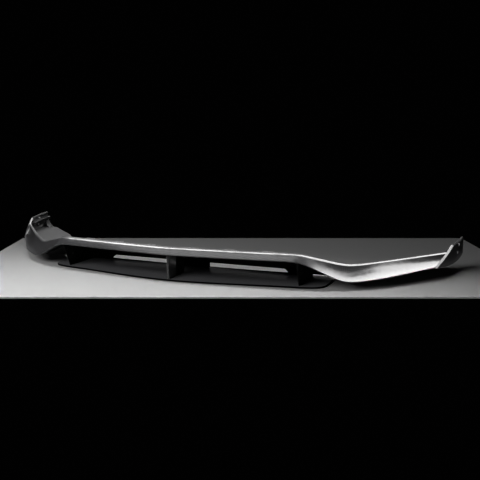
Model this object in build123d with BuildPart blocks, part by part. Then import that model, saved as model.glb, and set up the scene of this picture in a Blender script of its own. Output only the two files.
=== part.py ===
from build123d import *
import os

os.makedirs("parts", exist_ok=True)

# Millimetres. X runs across the car, Y from the nose to the rear, Z up.
# The origin lies on the flat underside of the blade, on the centre plane, behind the nose.

# Laminates and glue lines
wall = 3.5
blade_thick = 6.0
panel_thick = 3.0
bond = 0.3

# Raised ribbon across the middle of the skin
ribbon_low_z = 99.0
ribbon_rise = 23.0
ribbon_lean = 25.0
ribbon_crown = 1.5
nose_y = -38.0
quarter_x = 250.0
quarter_y = -15.0
shoulder_x = 485.0
shoulder_y = 17.0
flange_depth = 24.0
return_depth = 24.0

# Dip between the ribbon and a wing
dip_x = 632.0
dip_y = 71.5
dip_low_z = 26.5
dip_rise = 54.0
dip_lean = 50.0
dip_floor = 200.0

# Corner of a wing, where its lower edge turns back
corner_x = 740.0
corner_y = 145.0
corner_low_z = 36.0
corner_rise = 51.0
corner_lean = 75.0
corner_floor = 336.0

# Root of a fin, where the wing ends
root_x = 899.0
root_y = 335.0
root_low_z = 52.0
root_rise = 44.0
root_lean = 47.0
root_floor = 248.0

# Cross-sections of the skin: how many intervals from the centre plane to a fin, and the run along X
# that rounds the corners
skin_steps = 20
skin_run = 34.0

# Hollow of the wing face, narrow rim along its top, blunt lower edge and rounded upper edge
wing_crown = -7.0
wing_rim = 9.0
chin_blunt = 4.5
roll_round = 6.0

# Fin at the end of a wing
fin_thick = 11.0
fin_mid_x = 946.0
fin_mid_y = 455.0
tip_x = 966.0
tip_y = 588.0
fin_low_z = 50.0
fin_belly_z = 40.0
fin_front_y = 444.0
fin_front_z = 120.0
fin_rear_z = 130.0
fin_rear_low_z = 67.0
fin_bevel = 4.0
ledge_depth = 14.0
ledge_thick = 9.0
ledge_drop = 22.0
web_thick = 26.0
web_bevel = 4.0
web_reach = 68.0

# Mounting tabs along the top flange
tab_x = (82.0, 224.0, 362.0)
tab_width = 42.0
tab_reach = 16.0
tab_thick = 3.0
tab_root = 10.0
tab_hole = 6.5
tab_round = 6.0
tab_hole_y = 7.0
tab_low_z = ribbon_low_z + ribbon_rise - wall + (wall - tab_thick) / 2

# Threaded inserts in the fins: seat of each flange as x, y, z, then the sizes they share
insert_seats = ((957.0, 512.0, 110.0), (954.6, 498.0, 83.0))
insert_body = 7.0
insert_fit = 0.1
insert_length = 13.0
insert_flange = 11.0
insert_flange_thick = 1.4
insert_bore = 4.2

# Blade
blade_nose_y = -8.0
blade_quarter_y = 21.0
blade_shoulder_x = 480.0
blade_shoulder_y = 60.0
blade_side_x = 556.0
blade_corner_y = 80.0
blade_corner_round = 60.0
blade_rear_y = 258.0
blade_bevel = 2.0

# Duct between ribbon and blade
roof_flat_y = 46.0
roof_front_inset = 17.0
rear_wall_y = 238.0
rear_wall_top = 30.0
rear_wall_bend = 6.0
panel_x = 472.0
slot_top_z = 25.5
slot_inner_x = 58.0
slot_outer_x = 364.0
slot_slant = 14.0
sill_inner = 2.0
sill_outer = 6.0
cheek_foot_y = 72.0
cheek_head_y = 28.0
cheek_gap = 1.0
cheek_hole_y = 94.0
cheek_hole_z = 53.0
cheek_hole_length = 13.0
cheek_hole_height = 7.0

# Strut in the middle of the duct mouth
strut_thick = 10.0
strut_front_y = -5.0
strut_rear_y = 54.0
strut_rear_top = 84.0
strut_top_inset = 6.0
strut_edge_round = 4.5

# Key cross-sections of the skin from the centre plane outward, straight between one and the next:
# x, lower edge y, lower edge z, rise, lean, crown, rim depth, floor depth
ribbon_shape = (ribbon_low_z, ribbon_rise, ribbon_lean, ribbon_crown, flange_depth, return_depth)
key_rows = (
    (0.0, nose_y) + ribbon_shape,
    (quarter_x, quarter_y) + ribbon_shape,
    (shoulder_x, shoulder_y) + ribbon_shape,
    (dip_x, dip_y, dip_low_z, dip_rise, dip_lean, wing_crown, wing_rim, dip_floor),
    (corner_x, corner_y, corner_low_z, corner_rise, corner_lean, wing_crown, wing_rim, corner_floor),
    (root_x, root_y, root_low_z, root_rise, root_lean, wing_crown, wing_rim, root_floor),
)


def straight_row(x):
    """Cross-section at a distance from the centre plane, before the corners are rounded"""
    for first, second in zip(key_rows, key_rows[1:]):
        if x <= second[0]:
            break
    share = (x - first[0]) / (second[0] - first[0])
    return [a + (b - a) * share for a, b in zip(first, second)]


def rounded_row(x):
    """The same with its corners rounded, as the mean over a short run along X"""
    near = [straight_row(abs(x + skin_run * (step / 4 - 1))) for step in range(9)]
    return [x] + [sum(values) / len(near) for values in list(zip(*near))[1:]]


def skin_section(x, low_y, low_z, rise, lean, crown, rim, floor):
    """Closed outline of the skin at one distance from the centre plane"""
    low = Vector(low_y, low_z)
    top = Vector(low_y + lean, low_z + rise)
    along = (top - low).normalized()
    outward = Vector(-along.Y, along.X)
    slope = along.Y / along.X
    inner_low = low + Vector(wall * (along.Y + (1 + along.X) / slope), wall)
    inner_top = top + Vector(wall * (along.Y - (1 - along.X) / slope), -wall)
    face_low = low + along * chin_blunt
    face_top = top - along * roll_round
    with BuildSketch(Plane.YZ.offset(x)) as section:
        with BuildLine():
            Line(low + Vector(chin_blunt, 0), face_low)
            Bezier(face_low, (face_low + face_top) * 0.5 + outward * crown * 2, face_top)
            Bezier(face_top, top, top + Vector(roll_round, 0))
            Line(top + Vector(roll_round, 0), top + Vector(rim, 0))
            Line(top + Vector(rim, 0), top + Vector(rim, -wall))
            Line(top + Vector(rim, -wall), inner_top)
            Bezier(inner_top, (inner_top + inner_low) * 0.5 + outward * crown * 2, inner_low)
            Line(inner_low, low + Vector(floor, wall))
            Line(low + Vector(floor, wall), low + Vector(floor, 0))
            Line(low + Vector(floor, 0), low + Vector(chin_blunt, 0))
        make_face()
    return section.sketch


# Skin: ribbon and wings in one run of cross-sections, then the fins, webs, ledges and tabs
fin_sweep = ((root_x, root_y), (fin_mid_x, fin_mid_y), (tip_x, tip_y))


def fin_band(start, width):
    """Plan outline of a band that follows the fin, inward from its outer face"""
    with BuildSketch() as band:
        with BuildLine():
            outer = ThreePointArc(*[(x - start, y) for x, y in fin_sweep])
            inner = ThreePointArc(*[(x - start - width, y) for x, y in fin_sweep])
            Line(outer @ 0, inner @ 0)
            Line(outer @ 1, inner @ 1)
        make_face()
    return band.sketch


with BuildPart() as right_fin:
    extrude(fin_band(0, fin_thick), amount=2 * fin_rear_z)
    with BuildSketch(Plane.YZ):
        with BuildLine():
            Polyline(
                (root_y, fin_low_z),
                (root_y, root_low_z),
                (fin_front_y, fin_front_z),
                (tip_y, fin_rear_z),
                (tip_y, fin_rear_low_z),
            )
            Bezier((tip_y, fin_rear_low_z), (fin_mid_y, fin_belly_z), (root_y, fin_low_z))
        make_face()
    extrude(amount=2 * tip_x, mode=Mode.INTERSECT)
    middle_z = (root_low_z + fin_front_z) / 2
    front_and_top = right_fin.edges().filter_by(lambda e: e.center().Z > middle_z - fin_thick)
    front_and_top = front_and_top.filter_by(lambda e: e.center().Y < tip_y - 1 and e.length > 2 * fin_thick)
    chamfer(front_and_top, length=fin_bevel)

with BuildPart() as right_ledge:
    extrude(fin_band(fin_thick / 2, ledge_depth + fin_thick / 2), amount=2 * fin_rear_z)
    with BuildSketch(Plane.YZ):
        with BuildLine():
            Polyline(
                (fin_front_y, fin_front_z - ledge_drop),
                (tip_y, fin_rear_z - ledge_drop),
                (tip_y, fin_rear_z - ledge_drop - ledge_thick),
                (fin_front_y, fin_front_z - ledge_drop - ledge_thick),
                close=True,
            )
        make_face()
    extrude(amount=2 * tip_x, mode=Mode.INTERSECT)

with BuildPart() as right_web:
    with BuildSketch(Plane.XZ.offset(-tip_y)):
        with BuildLine():
            foot = (tip_x - web_reach, root_low_z + wall / 2)
            heel = (tip_x - fin_thick / 2, root_low_z + wall / 2)
            head = (tip_x - fin_thick / 2, fin_rear_z - fin_bevel)
            Line(foot, heel)
            Line(heel, head)
            Bezier(head, (head[0] - fin_thick, foot[1]), foot)
        make_face()
    extrude(amount=web_thick)
    cove_front = right_web.edges().filter_by(GeomType.BEZIER).group_by(Axis.Y)[0]
    chamfer(cove_front, length=web_bevel)

with BuildPart() as upper_skin:
    places = [tip_x * step / skin_steps for step in range(-skin_steps, skin_steps + 1)]
    loft(sections=[skin_section(*rounded_row(x)) for x in places])
    with BuildSketch() as beyond_fin:
        with BuildLine():
            edge = ThreePointArc(*[(x - fin_thick / 2, y) for x, y in fin_sweep])
            Polyline(
                edge @ 0,
                (root_x, root_y / 2),
                (2 * tip_x, root_y / 2),
                (2 * tip_x, 2 * tip_y),
                (dip_x, 2 * tip_y),
                (dip_x, tip_y),
                edge @ 1,
            )
        make_face()
        mirror(about=Plane.YZ)
    extrude(amount=2 * fin_rear_z, mode=Mode.SUBTRACT)
    for piece in (right_fin, right_ledge, right_web):
        add(piece.part)
        add(mirror(piece.part, about=Plane.YZ, mode=Mode.PRIVATE))
    for x in tab_x:
        tab_y = rounded_row(x)[1] + ribbon_lean + flange_depth
        with BuildSketch(Plane.XY.offset(tab_low_z)) as tab:
            with Locations((x, tab_y + (tab_reach - tab_root) / 2), (-x, tab_y + (tab_reach - tab_root) / 2)):
                RectangleRounded(tab_width, tab_reach + tab_root, tab_round)
            with Locations((x, tab_y + tab_hole_y), (-x, tab_y + tab_hole_y)):
                Circle(tab_hole / 2, mode=Mode.SUBTRACT)
        extrude(amount=tab_thick)
    for x, y, z in insert_seats:
        for side in (-1, 1):
            with Locations(Location((side * x, y, z), (0, 90 * side, 0))):
                CounterBoreHole(
                    radius=insert_body / 2 + insert_fit,
                    counter_bore_radius=insert_flange / 2 + insert_fit,
                    counter_bore_depth=insert_fit,
                    depth=insert_length + fin_thick,
                )
                Cylinder(
                    insert_flange / 2 + insert_fit,
                    fin_thick,
                    align=(Align.CENTER, Align.CENTER, Align.MIN),
                    mode=Mode.SUBTRACT,
                )
upper_skin.part.label = "upper_skin"
export_step(upper_skin.part, "parts/upper_skin.step")

# Lower blade: a flat plate cut to its plan outline, with rounded ends and a bevelled upper edge
with BuildPart() as lower_blade:
    with BuildSketch() as plate_outline:
        with BuildLine():
            Spline(
                (-blade_shoulder_x, blade_shoulder_y),
                (-quarter_x, blade_quarter_y),
                (0, blade_nose_y),
                (quarter_x, blade_quarter_y),
                (blade_shoulder_x, blade_shoulder_y),
            )
            Polyline(
                (blade_shoulder_x, blade_shoulder_y),
                (blade_side_x, blade_corner_y),
                (blade_side_x, blade_rear_y),
                (-blade_side_x, blade_rear_y),
                (-blade_side_x, blade_corner_y),
                (-blade_shoulder_x, blade_shoulder_y),
            )
        make_face()
        ends = plate_outline.vertices().filter_by(lambda v: abs(v.X) > blade_shoulder_x + 1)
        fillet(ends, radius=blade_corner_round)
    extrude(amount=blade_thick)
    chamfer(lower_blade.edges().group_by(Axis.Z)[-1], length=blade_bevel)
lower_blade.part.label = "lower_blade"
export_step(lower_blade.part, "parts/lower_blade.step")

# Duct panel: roof and rear wall bent from one sheet, closed by a cheek at each end, cut to the ribbon
roof_z = ribbon_low_z + wall + bond + panel_thick / 2
floor_z = blade_thick + bond
with BuildPart() as duct_panel:
    with BuildSketch(Plane.YZ) as sheet_section:
        with BuildLine():
            FilletPolyline(
                (2 * nose_y, roof_z),
                (roof_flat_y, roof_z),
                (rear_wall_y, rear_wall_top),
                (rear_wall_y, floor_z),
                radius=rear_wall_bend,
            )
        trace(line_width=panel_thick)
    extrude(amount=panel_x, both=True)
    with BuildSketch(Plane.XZ) as slots:
        with BuildLine():
            Polyline(
                (slot_inner_x, slot_top_z),
                (slot_outer_x, slot_top_z),
                (slot_outer_x + slot_slant, floor_z + sill_outer),
                (slot_inner_x, floor_z + sill_inner),
                close=True,
            )
        make_face()
        mirror(about=Plane.YZ)
    extrude(amount=-2 * rear_wall_y, mode=Mode.SUBTRACT)
    with BuildSketch() as ahead_of_roof:
        with BuildLine():
            across = (-panel_x, -quarter_x, 0, quarter_x, panel_x)
            front = [(x, rounded_row(x)[1] + roof_front_inset) for x in across]
            Polyline(*front)
            Polyline(front[-1], (panel_x, 3 * nose_y), (-panel_x, 3 * nose_y), front[0])
        make_face()
    extrude(amount=2 * roof_z, mode=Mode.SUBTRACT)
    end_row = rounded_row(panel_x)
    behind_return = end_row[1] + end_row[7] + cheek_gap
    under_return = end_row[2] - cheek_gap
    with BuildSketch(Plane.YZ.offset(panel_x)) as cheek:
        with BuildLine():
            Polyline(
                (cheek_foot_y, floor_z),
                (cheek_head_y, roof_z),
                (roof_flat_y, roof_z),
                (rear_wall_y, rear_wall_top),
                (rear_wall_y, floor_z),
                close=True,
            )
        make_face()
        with Locations((behind_return, under_return)):
            Rectangle(behind_return, roof_z, align=(Align.MAX, Align.MIN), mode=Mode.SUBTRACT)
        with Locations((cheek_hole_y, cheek_hole_z)):
            SlotOverall(cheek_hole_length, cheek_hole_height, mode=Mode.SUBTRACT)
    right_cheek = extrude(amount=-panel_thick)
    mirror(right_cheek, about=Plane.YZ)
duct_panel.part.label = "duct_panel"
export_step(duct_panel.part, "parts/duct_panel.step")

# Centre strut: upright plate under the roof, its front edge rounded
roof_under = roof_z - panel_thick / 2 - bond
with BuildPart() as centre_strut:
    with BuildSketch(Plane.YZ):
        with BuildLine():
            Polyline(
                (strut_front_y, floor_z),
                (strut_front_y, roof_under),
                (roof_flat_y - strut_top_inset, roof_under),
                (strut_rear_y, strut_rear_top),
                (strut_rear_y, floor_z),
                close=True,
            )
        make_face()
    extrude(amount=strut_thick / 2, both=True)
    fillet(centre_strut.edges().filter_by(Axis.Z).group_by(Axis.Y)[0], radius=strut_edge_round)
centre_strut.part.label = "centre_strut"
export_step(centre_strut.part, "parts/centre_strut.step")

# Fin inserts: flanged threaded bushes, two in each fin
with BuildPart() as fin_inserts:
    for x, y, z in insert_seats:
        with Locations(Location((x, y, z), (0, 90, 0))):
            Cylinder(insert_flange / 2, insert_flange_thick, align=(Align.CENTER, Align.CENTER, Align.MIN))
            Cylinder(insert_body / 2, insert_length, align=(Align.CENTER, Align.CENTER, Align.MAX))
            Hole(insert_bore / 2)
    mirror(about=Plane.YZ)
fin_inserts.part.label = "fin_inserts"
export_step(fin_inserts.part, "parts/fin_inserts.step")
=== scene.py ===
"""Looks of the front bumper overlay: a clear-coated carbon-fibre lip lying on a pale board."""

import logging
import math
from dataclasses import dataclass, field
from enum import Enum

import bmesh
import bpy
from mathutils import Euler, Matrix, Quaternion, Vector


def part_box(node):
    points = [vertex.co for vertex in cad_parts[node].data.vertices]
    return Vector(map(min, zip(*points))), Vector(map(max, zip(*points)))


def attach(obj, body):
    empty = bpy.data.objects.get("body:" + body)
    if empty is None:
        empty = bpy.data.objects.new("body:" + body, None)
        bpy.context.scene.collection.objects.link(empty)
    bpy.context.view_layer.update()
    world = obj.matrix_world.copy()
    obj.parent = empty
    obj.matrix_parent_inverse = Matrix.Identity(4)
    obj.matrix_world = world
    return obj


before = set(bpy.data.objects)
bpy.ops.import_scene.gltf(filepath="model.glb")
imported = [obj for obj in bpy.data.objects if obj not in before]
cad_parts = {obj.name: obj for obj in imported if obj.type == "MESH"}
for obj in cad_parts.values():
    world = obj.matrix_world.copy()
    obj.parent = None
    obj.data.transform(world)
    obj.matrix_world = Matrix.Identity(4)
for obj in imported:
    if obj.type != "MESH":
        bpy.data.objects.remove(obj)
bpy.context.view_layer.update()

log = logging.getLogger("overlay")
MM = 0.001

Point = tuple[float, float, float]
Colour = tuple[float, float, float, float]
Value = bpy.types.NodeSocket | float


class Lights(Enum):
    """What a lamp acts on."""

    GLOSS = "gloss"
    MATT = "matt"


class Side(Enum):
    """The two ends of the overlay, each with its sign along X."""

    LEFT = -1.0
    RIGHT = 1.0

    @property
    def word(self) -> str:
        """The side as it stands in the names of pieces."""
        return self.name.lower()


def grey(level: float, blue: float = 1.0) -> Colour:
    """Mix a grey of this level, with its blue at this share of the rest."""
    return (level, level, level * blue, 1.0)


@dataclass(frozen=True)
class NodeTools:
    """Short ways to add shader nodes to one material."""

    material: bpy.types.Material

    @classmethod
    def start(cls, name: str) -> "NodeTools":
        """Start a new material.

        Args:
            name: Name of the material.

        Returns:
            The tools that work on it.
        """
        material = bpy.data.materials.new(name)
        material.use_nodes = True
        return cls(material)

    @property
    def shader(self) -> bpy.types.Node:
        """The surface shader of the material."""
        return self.material.node_tree.nodes["Principled BSDF"]

    def add(self, kind: str, **settings: object) -> bpy.types.Node:
        """Add a node and set its properties.

        Args:
            kind: Blender's name of the node type.
            settings: Property values of the node.

        Returns:
            The new node.
        """
        node = self.material.node_tree.nodes.new(kind)
        for name, value in settings.items():
            setattr(node, name, value)
        return node

    def link(self, source: bpy.types.NodeSocket, target: bpy.types.NodeSocket) -> None:
        """Join an output socket to an input socket."""
        self.material.node_tree.links.new(source, target)

    def calc(
        self, operation: str, first: Value, second: Value | None = None
    ) -> bpy.types.NodeSocket:
        """Add a math node.

        Args:
            operation: Name of the operation.
            first: Socket or number for the first input.
            second: Socket or number for the second input, if the operation has one.

        Returns:
            The node's output socket.
        """
        node = self.add("ShaderNodeMath", operation=operation)
        for socket, value in zip(node.inputs, (first, second)):
            if value is None:
                continue
            if isinstance(value, bpy.types.NodeSocket):
                self.link(value, socket)
            else:
                socket.default_value = value
        return node.outputs[0]

    def split(self, source: bpy.types.NodeSocket) -> bpy.types.Node:
        """Split a vector into its X, Y and Z.

        Args:
            source: Socket that gives the vector.

        Returns:
            The node with the three outputs.
        """
        parts = self.add("ShaderNodeSeparateXYZ")
        self.link(source, parts.inputs[0])
        return parts

    def split_place(self) -> bpy.types.Node:
        """Split the place of a point on the piece into its X, Y and Z."""
        return self.split(self.add("ShaderNodeTexCoord").outputs["Object"])

    def split_facing(self) -> bpy.types.Node:
        """Split the direction that the surface faces into its X, Y and Z."""
        return self.split(self.add("ShaderNodeNewGeometry").outputs["Normal"])


@dataclass(frozen=True)
class CarbonTwill:
    """Two-by-two carbon twill, with clear coat on its outer sides.

    Attributes:
        name: Name of the material.
        tow: Width of one tow of fibres.
        repeat: Tows after which the twill starts again.
        bright_steps: Limit between the steps of a repeat that show a bright tow and the rest.
        bright_tow: Shade of the bright tows.
        bright_blue: Their blue, as a share of their shade.
        dark_tow: Shade of the dark tows.
        dark_blue: Their blue, as a share of their shade.
        tow_roughness: Roughness of the weave under the coat.
        inside_roughness: Roughness of the weave on the uncoated sides.
        sheen: Strength of the weave's own reflection.
        coat: Weight of the clear coat, nought for none.
        coat_roughness: Roughness of the clear coat.
        coat_ior: Refraction of the clear coat.
        upright_lean: Lean towards level under which a face counts as upright.
        level_lean: Upward lean over which a face counts as level.
        floor_limit: Height under which a level face is an uncoated wing floor.
        back_lean: Backward lean over which a face is an uncoated back.
        bare_below: Upward lean under which a face is an uncoated underside.
        bare_painted_shade: Painted shade on the uncoated sides, as a share of the weave's colour;
            one paints none.
    """

    name: str
    tow: float = 2.4 * MM
    repeat: float = 4.0
    bright_steps: float = 1.5
    bright_tow: float = 0.085
    bright_blue: float = 1.04
    dark_tow: float = 0.045
    dark_blue: float = 1.05
    tow_roughness: float = 0.36
    inside_roughness: float = 0.62
    sheen: float = 0.25
    coat: float = 1.0
    coat_roughness: float = 0.2
    coat_ior: float = 1.6
    upright_lean: float = 0.5
    level_lean: float = 0.98
    floor_limit: float = 70.0 * MM
    back_lean: float = 0.25
    bare_below: float = -0.2
    bare_painted_shade: float = 1.0

    def build(self) -> bpy.types.Material:
        """Make the material.

        Returns:
            The woven and coated material.
        """
        tools = NodeTools.start(self.name)
        shader = tools.shader
        place = tools.split_place()
        facing = tools.split_facing()
        inside = self.mask_inside(tools, place, facing)
        shade = tools.add("ShaderNodeMix", data_type="RGBA")
        shade.inputs["A"].default_value = grey(self.dark_tow, self.dark_blue)
        shade.inputs["B"].default_value = grey(self.bright_tow, self.bright_blue)
        tools.link(self.weave(tools, place, facing), shade.inputs["Factor"])
        # Painted shade: on the uncoated sides the weave is multiplied by bare_painted_shade, which
        # darkens them in colour; at one it leaves them as woven.
        bare = tools.add("ShaderNodeMix", data_type="RGBA", blend_type="MULTIPLY")
        bare.inputs["B"].default_value = grey(self.bare_painted_shade)
        tools.link(inside, bare.inputs["Factor"])
        tools.link(shade.outputs["Result"], bare.inputs["A"])
        tools.link(bare.outputs["Result"], shader.inputs["Base Color"])
        rough = tools.calc("MULTIPLY", inside, self.inside_roughness - self.tow_roughness)
        tools.link(tools.calc("ADD", rough, self.tow_roughness), shader.inputs["Roughness"])
        outside = tools.calc("SUBTRACT", 1.0, inside)
        tools.link(tools.calc("MULTIPLY", outside, self.coat), shader.inputs["Coat Weight"])
        shader.inputs["Specular IOR Level"].default_value = self.sheen
        shader.inputs["Coat Roughness"].default_value = self.coat_roughness
        shader.inputs["Coat IOR"].default_value = self.coat_ior
        return tools.material

    def weave(
        self, tools: NodeTools, place: bpy.types.Node, facing: bpy.types.Node
    ) -> bpy.types.NodeSocket:
        """Lay the tows in steps, at a slant to the piece.

        Args:
            tools: Node maker of the material.
            place: Node that splits the place of a point.
            facing: Node that splits the surface's direction.

        Returns:
            One where a bright tow lies on top, and nought elsewhere.
        """
        x, y, z = (place.outputs[axis] for axis in "XYZ")
        lean = tools.calc("ABSOLUTE", facing.outputs["Z"])
        upright = tools.calc("LESS_THAN", lean, self.upright_lean)
        rise = tools.calc("MULTIPLY", z, upright)
        along = tools.calc("DIVIDE", tools.calc("ADD", x, y), self.tow)
        slant = tools.calc("ADD", tools.calc("SUBTRACT", x, y), rise)
        across = tools.calc("DIVIDE", slant, self.tow)
        step = tools.calc("SUBTRACT", tools.calc("FLOOR", along), tools.calc("FLOOR", across))
        in_repeat = tools.calc("FLOORED_MODULO", step, self.repeat)
        return tools.calc("LESS_THAN", in_repeat, self.bright_steps)

    def mask_inside(
        self, tools: NodeTools, place: bpy.types.Node, facing: bpy.types.Node
    ) -> bpy.types.NodeSocket:
        """Find the uncoated inner sides of the moulding.

        Args:
            tools: Node maker of the material.
            place: Node that splits the place of a point.
            facing: Node that splits the surface's direction.

        Returns:
            One on the back, the underside and the wing floors, and nought elsewhere.
        """
        level = tools.calc("GREATER_THAN", facing.outputs["Z"], self.level_lean)
        low = tools.calc("LESS_THAN", place.outputs["Z"], self.floor_limit)
        wing_floor = tools.calc("MULTIPLY", level, low)
        back = tools.calc("GREATER_THAN", facing.outputs["Y"], self.back_lean)
        under = tools.calc("LESS_THAN", facing.outputs["Z"], self.bare_below)
        return tools.calc("MAXIMUM", wing_floor, tools.calc("MAXIMUM", back, under))


@dataclass(frozen=True)
class RawLaminate:
    """Uncoated laminate straight from the mould, dull and dark, with painted shade that makes it
    darkest inside the duct.

    Attributes:
        name: Name of the material.
        outer_shade: Shade of the sides that face up or back.
        duct_painted_shade: Darker shade painted on the sides that face into the duct: painted shade
            for the shade inside it.
        outer_lean: Lean up and back over which a side is an outer one.
        grain: Fineness of the cloth's grain.
        grain_base: Level that the grain is added to.
        roughness: Roughness of the surface.
        sheen: Strength of its reflection.
    """

    name: str
    outer_shade: float = 0.022
    duct_painted_shade: float = 0.003
    outer_lean: float = 0.3
    grain: float = 420.0
    grain_base: float = 0.5
    roughness: float = 0.8
    sheen: float = 0.1

    def build(self) -> bpy.types.Material:
        """Make the material.

        Returns:
            The dull laminate material.
        """
        tools = NodeTools.start(self.name)
        shader = tools.shader
        place = tools.add("ShaderNodeTexCoord")
        cloth = tools.add("ShaderNodeTexNoise")
        cloth.inputs["Scale"].default_value = self.grain
        tools.link(place.outputs["Object"], cloth.inputs["Vector"])
        facing = tools.split_facing()
        # Painted shade: sides that face into the duct take the darker inner shade, and those that
        # face up or back take the outer one.
        lean = tools.calc("ADD", facing.outputs["Y"], facing.outputs["Z"])
        outside = tools.calc("GREATER_THAN", lean, self.outer_lean)
        rise = tools.calc("MULTIPLY", outside, self.outer_shade - self.duct_painted_shade)
        level = tools.calc("ADD", rise, self.duct_painted_shade)
        grainy = tools.calc("MULTIPLY", level, tools.calc("ADD", cloth.outputs[0], self.grain_base))
        shade = tools.add("ShaderNodeCombineColor")
        for channel in shade.inputs:
            tools.link(grainy, channel)
        tools.link(shade.outputs[0], shader.inputs["Base Color"])
        shader.inputs["Roughness"].default_value = self.roughness
        shader.inputs["Specular IOR Level"].default_value = self.sheen
        return tools.material


@dataclass(frozen=True)
class BareMetal:
    """Plain turned metal."""

    name: str
    colour: Colour = (0.62, 0.62, 0.64, 1.0)
    roughness: float = 0.5

    def build(self) -> bpy.types.Material:
        """Make the material.

        Returns:
            The metal material.
        """
        tools = NodeTools.start(self.name)
        shader = tools.shader
        shader.inputs["Base Color"].default_value = self.colour
        shader.inputs["Metallic"].default_value = 1.0
        shader.inputs["Roughness"].default_value = self.roughness
        return tools.material


@dataclass(frozen=True)
class PaleBoard:
    """Matt pale surface of the board that the object lies on."""

    name: str = "pale_floor"
    level: float = 0.60
    roughness: float = 1.0
    sheen: float = 0.0

    def build(self) -> bpy.types.Material:
        """Make the material.

        Returns:
            The material of the board.
        """
        tools = NodeTools.start(self.name)
        shader = tools.shader
        shader.inputs["Base Color"].default_value = grey(self.level)
        shader.inputs["Roughness"].default_value = self.roughness
        shader.inputs["Specular IOR Level"].default_value = self.sheen
        return tools.material


@dataclass
class Moulding:
    """One bonded moulding or fastener group, shown as the solid that the frame holds.

    Attributes:
        node: Name of the solid's node.
        slot: The record's material slot; not used.
        finish: Material of the piece.
        edge: Width of its rounded edges, nought for none.
        edge_steps: Facets of a rounded edge.
        edge_angle: Angle in degrees over which an edge is rounded.
        weld_gap: Distance within which corners of the solid's mesh are joined first.
        shape: The solid, once it is taken from the frame.
    """

    node: str
    slot: str
    finish: bpy.types.Material
    edge: float = 0.0
    edge_steps: int = 2
    edge_angle: float = 50.0
    weld_gap: float = 0.01 * MM
    shape: bpy.types.Object = field(init=False)

    def build(self) -> None:
        """Take the solid from the frame and round its sharp edges."""
        self.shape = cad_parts[self.node]
        if self.edge:
            weld = self.shape.modifiers.new("weld", "WELD")
            weld.merge_threshold = self.weld_gap
            bevel = self.shape.modifiers.new("edge", "BEVEL")
            bevel.width = self.edge
            bevel.segments = self.edge_steps
            bevel.limit_method = "ANGLE"
            bevel.angle_limit = math.radians(self.edge_angle)
            bevel.harden_normals = True

    def dress(self) -> None:
        """Give the solid its finish."""
        self.shape.data.materials.clear()
        self.shape.data.materials.append(self.finish)


@dataclass
class Plates:
    """Flat stiffening plates behind the mouldings, cut from one laminate.

    Attributes:
        finish: Material of the plates.
        web_rear: Y and Z of the top rear corner of the strut's web, in millimetres.
        web_head: Z of the web's top where it meets the strut, in millimetres.
        rail_outline: X and Z of a rail's outer corners, in millimetres.
        rail_foot: Z of a rail's lower edge at the duct, in millimetres.
        rail_crown: Z of a rail's upper edge at the duct, in millimetres.
        gusset_corners: Corners of a gusset's upper face, in millimetres.
        thick: Thickness of rails and gussets, in millimetres.
        pieces: The plates, once they are cut.
    """

    finish: bpy.types.Material
    web_rear: tuple[float, float] = (120.0, 72.0)
    web_head: float = 84.0
    rail_outline: tuple[tuple[float, float], ...] = (
        (560.0, 14.0),
        (606.0, 30.0),
        (614.0, 35.0),
        (600.0, 41.0),
    )
    rail_foot: float = 14.0
    rail_crown: float = 30.0
    gusset_corners: tuple[Point, ...] = (
        (472.0, 62.0, 90.0),
        (472.0, 238.0, 31.0),
        (612.0, 242.0, 34.5),
        (598.0, 90.0, 41.0),
    )
    thick: float = 3.0
    pieces: list[bpy.types.Object] = field(default_factory=list)

    def build(self) -> None:
        """Cut the strut's rear web, and a rail and a gusset from each end of the duct to a wing."""
        self.cut_web()
        for side in Side:
            self.cut_rail(side)
            self.cut_gusset(side)

    def cut_web(self) -> None:
        """Cut the web that carries the centre strut on to the rear wall of the duct."""
        low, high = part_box("centre_strut")
        rear_y, rear_top = self.web_rear
        outline = [
            (low[0], high[1], low[2]),
            (low[0], rear_y * MM, low[2]),
            (low[0], rear_y * MM, rear_top * MM),
            (low[0], high[1], self.web_head * MM),
        ]
        self.cut("strut_web", outline, (high[0] - low[0], 0.0, 0.0))

    def cut_rail(self, side: Side) -> None:
        """Cut the upright rail in line with the rear wall of the duct.

        Args:
            side: End of the overlay that it is for.
        """
        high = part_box("duct_panel")[1]
        outer = [(x * MM, z * MM) for x, z in self.rail_outline]
        section = [(high[0], self.rail_foot * MM), *outer, (high[0], self.rail_crown * MM)]
        outline = [(side.value * x, high[1], z) for x, z in section]
        self.cut(f"{side.word}_rail", outline, (0.0, -self.thick * MM, 0.0))

    def cut_gusset(self, side: Side) -> None:
        """Cut the sloping gusset between the roof of the duct and the wing.

        Args:
            side: End of the overlay that it is for.
        """
        outline = [(side.value * x * MM, y * MM, z * MM) for x, y, z in self.gusset_corners]
        self.cut(f"{side.word}_gusset", outline, (0.0, 0.0, -self.thick * MM))

    def cut(self, name: str, outline: list[Point], depth: Point) -> None:
        """Make one flat, closed plate and add it to the pieces.

        Args:
            name: Name of the plate.
            outline: Corners of one of its faces.
            depth: Step from that face to the other.
        """
        mesh = bpy.data.meshes.new(name)
        form = bmesh.new()
        near = [form.verts.new(corner) for corner in outline]
        far = [form.verts.new(Vector(corner) + Vector(depth)) for corner in outline]
        form.faces.new(near)
        form.faces.new(far[::-1])
        for index in range(len(near)):
            form.faces.new((near[index - 1], near[index], far[index], far[index - 1]))
        bmesh.ops.recalc_face_normals(form, faces=form.faces)
        form.to_mesh(mesh)
        form.free()
        plate = bpy.data.objects.new(name, mesh)
        bpy.context.scene.collection.objects.link(plate)
        self.pieces.append(plate)

    def dress(self) -> None:
        """Give the plates their finish and fix them to the overlay."""
        for plate in self.pieces:
            plate.data.materials.append(self.finish)
            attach(plate, "root")


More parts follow.
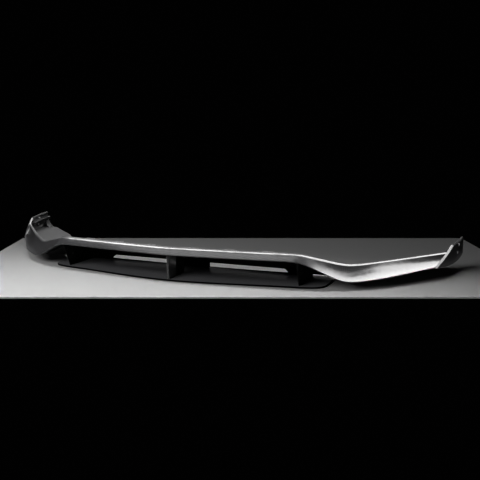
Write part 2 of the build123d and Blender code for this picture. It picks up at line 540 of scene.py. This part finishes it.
@dataclass(frozen=True)
class Softbox:
    """One rectangular soft lamp.

    Attributes:
        name: Name of the lamp.
        place: Where it hangs.
        aim: Point that it is turned to.
        width: Its longer side.
        depth: Its shorter side.
        radiance: Brightness of its face.
        lights: What it acts on.
        spread: Angle in degrees that its light fans out to.
        turn: Turn in degrees about the line to its aim.
    """

    name: str
    place: Point
    aim: Point
    width: float
    depth: float
    radiance: float
    lights: Lights
    spread: float = 180.0
    turn: float = 0.0

    def build(self) -> None:
        """Hang the lamp and turn it to what it lights."""
        lamp = bpy.data.lights.new(self.name, "AREA")
        lamp.shape = "RECTANGLE"
        lamp.size = self.width
        lamp.size_y = self.depth
        lamp.energy = self.radiance * math.pi * self.width * self.depth
        lamp.spread = math.radians(self.spread)
        box = bpy.data.objects.new(self.name, lamp)
        bpy.context.scene.collection.objects.link(box)
        box.location = self.place
        aim = Vector(self.aim) - box.location
        roll = Quaternion((0.0, 0.0, 1.0), math.radians(self.turn))
        box.rotation_euler = (aim.to_track_quat("-Z", "Y") @ roll).to_euler()
        box.visible_diffuse = self.lights is Lights.MATT
        box.visible_glossy = self.lights is Lights.GLOSS


STUDIO_LAMPS = (
    Softbox(
        "overhead_key", place=(0.1, -0.2, 2.2), aim=(0.1, -0.4, 0.0),
        width=2.4, depth=0.4, radiance=2.1, lights=Lights.MATT, spread=50.0,
    ),
    Softbox(
        "front_fill", place=(-1.0, -2.2, 1.6), aim=(0.0, 0.0, 0.0),
        width=2.6, depth=1.2, radiance=3.9, lights=Lights.MATT,
    ),
    Softbox(
        "ceiling_glow", place=(-0.5, -0.6, 2.0), aim=(-0.5, -0.6, 0.0),
        width=2.2, depth=1.6, radiance=1.3, lights=Lights.GLOSS,
    ),
    Softbox(
        "rim_card", place=(-0.8, 1.55, 2.0), aim=(-0.8, 1.55, 0.0),
        width=3.16, depth=1.3, radiance=9.0, lights=Lights.GLOSS,
    ),
    Softbox(
        "wing_card", place=(2.13, 1.31, 2.0), aim=(2.13, 1.31, 0.0),
        width=2.9, depth=1.8, radiance=8.5, lights=Lights.GLOSS, turn=-44.0,
    ),
    Softbox(
        "heel_card", place=(1.09, 0.80, 2.0), aim=(1.09, 0.80, 0.0),
        width=1.52, depth=0.36, radiance=8.5, lights=Lights.GLOSS, turn=-44.0,
    ),
    Softbox(
        "tab_card", place=(-1.2, 3.2, 0.75), aim=(0.0, 0.0, 0.1),
        width=4.5, depth=0.5, radiance=0.55, lights=Lights.GLOSS,
    ),
)


@dataclass
class Studio:
    """Pale board, soft lamps, dim room and the camera.

    Attributes:
        board_size: Width and depth of the board.
        board_thick: Its thickness.
        board_place: X and Y of its middle.
        board_drop: Gap between the board and the object's underside.
        lens: Focal length of the camera, in millimetres.
        sensor: Width of its sensor, in millimetres.
        place: Where the camera stands.
        tilt: Its tilt in degrees, up from straight down.
        turn: Its turn in degrees about the upright, which the board shares.
        sight: Distance that it sees to.
        room: Brightness of the room.
        lamps: The soft lamps.
    """

    board_size: tuple[float, float] = (2.123, 1.143)
    board_thick: float = 0.005
    board_place: tuple[float, float] = (0.125, 0.410)
    board_drop: float = 0.5 * MM
    lens: float = 54.0
    sensor: float = 36.0
    place: Point = (1.188, -2.255, 0.5916)
    tilt: float = 80.09
    turn: float = 21.95
    sight: float = 50.0
    room: float = 0.0004
    lamps: tuple[Softbox, ...] = STUDIO_LAMPS

    def build(self) -> None:
        """Lay the board, hang the lamps, light the room and set up the camera."""
        self.lay_board()
        for lamp in self.lamps:
            lamp.build()
        self.set_world()
        self.set_camera()

    def lay_board(self) -> None:
        """Lay the pale board under the object, square to the camera."""
        below = -self.board_drop - self.board_thick / 2
        bpy.ops.mesh.primitive_cube_add(size=1.0, location=(*self.board_place, below))
        floor = bpy.context.object
        floor.name = "floor"
        floor.scale = (*self.board_size, self.board_thick)
        floor.rotation_euler = (0.0, 0.0, math.radians(self.turn))
        floor.data.materials.append(PaleBoard().build())

    def set_world(self) -> None:
        """Fill the room with dim even light."""
        world = bpy.data.worlds.new("room")
        bpy.context.scene.world = world
        world.use_nodes = True
        sky = world.node_tree.nodes["Background"]
        sky.inputs["Color"].default_value = grey(self.room)
        sky.inputs["Strength"].default_value = 1.0

    def set_camera(self) -> None:
        """Stand the camera where the photograph was taken from."""
        data = bpy.data.cameras.new("camera")
        data.lens = self.lens
        data.sensor_width = self.sensor
        data.clip_end = self.sight
        camera = bpy.data.objects.new("camera", data)
        bpy.context.scene.collection.objects.link(camera)
        camera.location = self.place
        camera.rotation_euler = Euler((math.radians(self.tilt), 0.0, math.radians(self.turn)))
        bpy.context.scene.camera = camera


def main() -> None:
    """Dress the mouldings, add the plates and set up the studio."""
    logging.basicConfig(level=logging.INFO, format="%(name)s: %(message)s")
    carbon = CarbonTwill("carbon_twill").build()
    # Blade weave painted lighter than the skin's: painted light on its top under the ribbon's
    # overhang. Its front edges are darkened to three hundredths: an uncoated cut edge with painted
    # shade for the dark gap and contact shadow under it.
    blade = CarbonTwill(
        "blade_lit_twill", bright_tow=0.17, dark_tow=0.12, sheen=0.02, coat=0.0,
        floor_limit=0.0, bare_below=0.9, bare_painted_shade=0.03,
    ).build()
    # Strut weave painted darker than the skin's: painted shade for the shade it stands in under the
    # roof of the duct.
    strut = CarbonTwill("strut_shaded_twill", bright_tow=0.045, dark_tow=0.025).build()
    laminate = RawLaminate("raw_laminate").build()
    metal = BareMetal("insert_metal").build()
    mouldings = [
        Moulding("upper_skin", "carbon", carbon),
        Moulding("lower_blade", "carbon", blade, edge=0.5 * MM),
        Moulding("duct_panel", "carbon", laminate, edge=0.6 * MM),
        Moulding("centre_strut", "carbon", strut),
        Moulding("fin_inserts", "metal", metal),
    ]
    for moulding in mouldings:
        moulding.build()
        moulding.dress()
        log.info("dressed %s in %s", moulding.node, moulding.finish.name)
    plates = Plates(laminate)
    plates.build()
    plates.dress()
    for plate in plates.pieces:
        log.info("added %s", plate.name)
    Studio().build()
    bpy.context.scene.view_settings.view_transform = "Standard"


if __name__ == "__main__":
    main()
